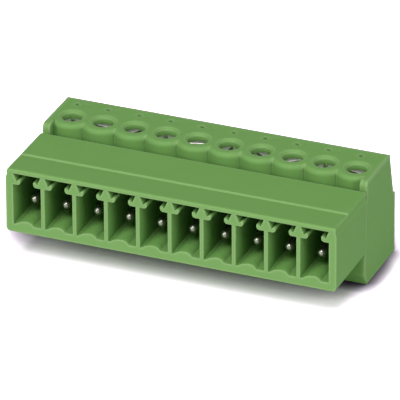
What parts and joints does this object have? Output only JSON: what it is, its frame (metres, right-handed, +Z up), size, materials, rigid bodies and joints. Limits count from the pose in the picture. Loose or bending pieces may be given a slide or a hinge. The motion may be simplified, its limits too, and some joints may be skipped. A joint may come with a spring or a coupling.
{
  "type": "pluggable terminal block",
  "caption": "Pluggable terminal block with male pins in a shroud with coding ribs at the front, and screw clamps behind it that hold wires entering from the rear.",
  "frame": {"origin": "on the plane of the foot, under the middle of the whole block", "axes": "+X along the row of poles, +Y from the open plug face towards the wire entries, +Z up out of the screw wells"},
  "size_m": [0.0394, 0.0188, 0.0128],
  "materials": {
    "green_plastic": "moulded polyamide, satin",
    "tinned_contact": "tin plated, satin",
    "cage_steel": "zinc plated",
    "screw_steel": "zinc plated"
  },
  "bodies": {
    "block": {"pin_shroud": "green_plastic", "clamp_housing": "green_plastic", "contact_pin_1": "tinned_contact", "contact_pin_2": "tinned_contact", "contact_pin_3": "tinned_contact", "contact_pin_4": "tinned_contact", "contact_pin_5": "tinned_contact", "contact_pin_6": "tinned_contact", "contact_pin_7": "tinned_contact", "contact_pin_8": "tinned_contact", "contact_pin_9": "tinned_contact", "contact_pin_10": "tinned_contact"},
    "screw_1": {"clamp_screw_1": "screw_steel"},
    "cage_1": {"clamp_cage_1": "cage_steel"},
    "screw_2": {"clamp_screw_2": "screw_steel"},
    "cage_2": {"clamp_cage_2": "cage_steel"},
    "screw_3": {"clamp_screw_3": "screw_steel"},
    "cage_3": {"clamp_cage_3": "cage_steel"},
    "screw_4": {"clamp_screw_4": "screw_steel"},
    "cage_4": {"clamp_cage_4": "cage_steel"},
    "screw_5": {"clamp_screw_5": "screw_steel"},
    "cage_5": {"clamp_cage_5": "cage_steel"},
    "screw_6": {"clamp_screw_6": "screw_steel"},
    "cage_6": {"clamp_cage_6": "cage_steel"},
    "screw_7": {"clamp_screw_7": "screw_steel"},
    "cage_7": {"clamp_cage_7": "cage_steel"},
    "screw_8": {"clamp_screw_8": "screw_steel"},
    "cage_8": {"clamp_cage_8": "cage_steel"},
    "screw_9": {"clamp_screw_9": "screw_steel"},
    "cage_9": {"clamp_cage_9": "cage_steel"},
    "screw_10": {"clamp_screw_10": "screw_steel"},
    "cage_10": {"clamp_cage_10": "cage_steel"}
  },
  "joints": [
    {"name": "screw_1_turn", "type": "hinge", "parent": "block", "child": "screw_1", "pos_m": [-0.01715, 0.0036, 0.0115], "axis": [0, 0, -1], "range_deg": [0, 1350.5]},
    {"name": "cage_1_rise", "type": "slide", "parent": "block", "child": "cage_1", "axis": [0, 0, 1], "range_m": [0, 0.0015]},
    {"name": "screw_2_turn", "type": "hinge", "parent": "block", "child": "screw_2", "pos_m": [-0.01333, 0.0036, 0.0115], "axis": [0, 0, -1], "range_deg": [0, 1350.5]},
    {"name": "cage_2_rise", "type": "slide", "parent": "block", "child": "cage_2", "axis": [0, 0, 1], "range_m": [0, 0.0015]},
    {"name": "screw_3_turn", "type": "hinge", "parent": "block", "child": "screw_3", "pos_m": [-0.00953, 0.0036, 0.0115], "axis": [0, 0, -1], "range_deg": [0, 1350.5]},
    {"name": "cage_3_rise", "type": "slide", "parent": "block", "child": "cage_3", "axis": [0, 0, 1], "range_m": [0, 0.0015]},
    {"name": "screw_4_turn", "type": "hinge", "parent": "block", "child": "screw_4", "pos_m": [-0.00571, 0.0036, 0.0115], "axis": [0, 0, -1], "range_deg": [0, 1350.5]},
    {"name": "cage_4_rise", "type": "slide", "parent": "block", "child": "cage_4", "axis": [0, 0, 1], "range_m": [0, 0.0015]},
    {"name": "screw_5_turn", "type": "hinge", "parent": "block", "child": "screw_5", "pos_m": [-0.00191, 0.0036, 0.0115], "axis": [0, 0, -1], "range_deg": [0, 1350.5]},
    {"name": "cage_5_rise", "type": "slide", "parent": "block", "child": "cage_5", "axis": [0, 0, 1], "range_m": [0, 0.0015]},
    {"name": "screw_6_turn", "type": "hinge", "parent": "block", "child": "screw_6", "pos_m": [0.00191, 0.0036, 0.0115], "axis": [0, 0, -1], "range_deg": [0, 1350.5]},
    {"name": "cage_6_rise", "type": "slide", "parent": "block", "child": "cage_6", "axis": [0, 0, 1], "range_m": [0, 0.0015]},
    {"name": "screw_7_turn", "type": "hinge", "parent": "block", "child": "screw_7", "pos_m": [0.00571, 0.0036, 0.0115], "axis": [0, 0, -1], "range_deg": [0, 1350.5]},
    {"name": "cage_7_rise", "type": "slide", "parent": "block", "child": "cage_7", "axis": [0, 0, 1], "range_m": [0, 0.0015]},
    {"name": "screw_8_turn", "type": "hinge", "parent": "block", "child": "screw_8", "pos_m": [0.00953, 0.0036, 0.0115], "axis": [0, 0, -1], "range_deg": [0, 1350.5]},
    {"name": "cage_8_rise", "type": "slide", "parent": "block", "child": "cage_8", "axis": [0, 0, 1], "range_m": [0, 0.0015]},
    {"name": "screw_9_turn", "type": "hinge", "parent": "block", "child": "screw_9", "pos_m": [0.01333, 0.0036, 0.0115], "axis": [0, 0, -1], "range_deg": [0, 1350.5]},
    {"name": "cage_9_rise", "type": "slide", "parent": "block", "child": "cage_9", "axis": [0, 0, 1], "range_m": [0, 0.0015]},
    {"name": "screw_10_turn", "type": "hinge", "parent": "block", "child": "screw_10", "pos_m": [0.01715, 0.0036, 0.0115], "axis": [0, 0, -1], "range_deg": [0, 1350.5]},
    {"name": "cage_10_rise", "type": "slide", "parent": "block", "child": "cage_10", "axis": [0, 0, 1], "range_m": [0, 0.0015]}
  ],
  "couplings": [
    {"joint": "screw_1_turn", "follows": "cage_1_rise", "rad_per_m": 15708},
    {"joint": "screw_2_turn", "follows": "cage_2_rise", "rad_per_m": 15708},
    {"joint": "screw_3_turn", "follows": "cage_3_rise", "rad_per_m": 15708},
    {"joint": "screw_4_turn", "follows": "cage_4_rise", "rad_per_m": 15708},
    {"joint": "screw_5_turn", "follows": "cage_5_rise", "rad_per_m": 15708},
    {"joint": "screw_6_turn", "follows": "cage_6_rise", "rad_per_m": 15708},
    {"joint": "screw_7_turn", "follows": "cage_7_rise", "rad_per_m": 15708},
    {"joint": "screw_8_turn", "follows": "cage_8_rise", "rad_per_m": 15708},
    {"joint": "screw_9_turn", "follows": "cage_9_rise", "rad_per_m": 15708},
    {"joint": "screw_10_turn", "follows": "cage_10_rise", "rad_per_m": 15708}
  ]
}
